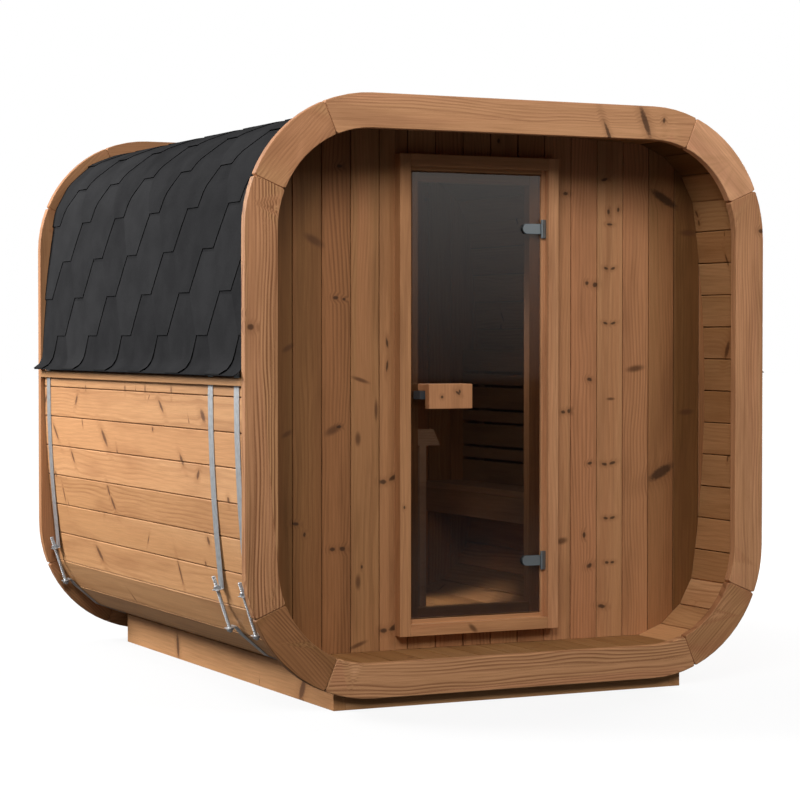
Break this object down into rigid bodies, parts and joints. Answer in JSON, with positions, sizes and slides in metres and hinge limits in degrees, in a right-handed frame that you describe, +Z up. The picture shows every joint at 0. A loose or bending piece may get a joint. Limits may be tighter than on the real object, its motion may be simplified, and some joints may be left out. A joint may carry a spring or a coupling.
{
  "type": "outdoor sauna cabin",
  "caption": "Outdoor sauna cabin: rounded-square stave shell between segmented timber rings, porch, boarded wall with a glass door, shingled roof and steel hoops",
  "frame": {"origin": "middle of the footprint, on the ground", "axes": "+X to the right seen from the front, +Y from the front to the rear, +Z up"},
  "size_m": [2.1172, 2.268, 2.098],
  "materials": {
    "ring_timber": "oiled",
    "stave_timber": "oiled",
    "wall_timber": "oiled",
    "bench_timber": "planed",
    "roof_shingle": "matte",
    "hoop_steel": "brushed",
    "hinge_metal": "brushed",
    "tinted_glass": "smooth",
    "latch_plastic": "matte"
  },
  "bodies": {
    "cabin": {"backrest": "bench_timber", "base_beam_front": "stave_timber", "base_beam_left": "stave_timber", "base_beam_rear": "stave_timber", "base_beam_right": "stave_timber", "bench_fascia": "bench_timber", "bench_seat": "bench_timber", "door_head": "wall_timber", "door_jamb_left": "wall_timber", "door_jamb_right": "wall_timber", "door_sill": "wall_timber", "eaves_batten_left": "stave_timber", "eaves_batten_right": "stave_timber", "front_ring_bottom": "ring_timber", "front_ring_corner_bottom_left": "ring_timber", "front_ring_corner_bottom_right": "ring_timber", "front_ring_corner_top_left": "ring_timber", "front_ring_corner_top_right": "ring_timber", "front_ring_left": "ring_timber", "front_ring_right": "ring_timber", "front_ring_top": "ring_timber", "front_wall_left": "wall_timber", "front_wall_over_door": "wall_timber", "front_wall_right": "wall_timber", "front_wall_under_door": "wall_timber", "heater_guard": "bench_timber", "hinge_plate_lower": "hinge_metal", "hinge_plate_upper": "hinge_metal", "hoop_front": "hoop_steel", "hoop_middle": "hoop_steel", "hoop_rear": "hoop_steel", "rear_ring_bottom": "ring_timber", "rear_ring_corner_bottom_left": "ring_timber", "rear_ring_corner_bottom_right": "ring_timber", "rear_ring_corner_top_left": "ring_timber", "rear_ring_corner_top_right": "ring_timber", "rear_ring_left": "ring_timber", "rear_ring_right": "ring_timber", "rear_ring_top": "ring_timber", "rear_wall": "wall_timber", "roofing_left": "roof_shingle", "roofing_right": "roof_shingle", "roofing_top": "roof_shingle", "shell_ceiling": "stave_timber", "shell_corner_bottom_left": "stave_timber", "shell_corner_bottom_right": "stave_timber", "shell_corner_top_left": "stave_timber", "shell_corner_top_right": "stave_timber", "shell_floor": "stave_timber", "shell_left": "stave_timber", "shell_right": "stave_timber"},
    "door": {"door_glass": "tinted_glass", "door_handle_inner": "wall_timber", "door_handle_outer": "wall_timber", "door_latch": "latch_plastic", "hinge_clamp_lower": "hinge_metal", "hinge_clamp_upper": "hinge_metal"}
  },
  "joints": [
    {"name": "door_hinge", "type": "hinge", "parent": "cabin", "child": "door", "pos_m": [0.256, -0.8495, 1.06], "axis": [0, 0, 1], "range_deg": [0, 105]}
  ]
}
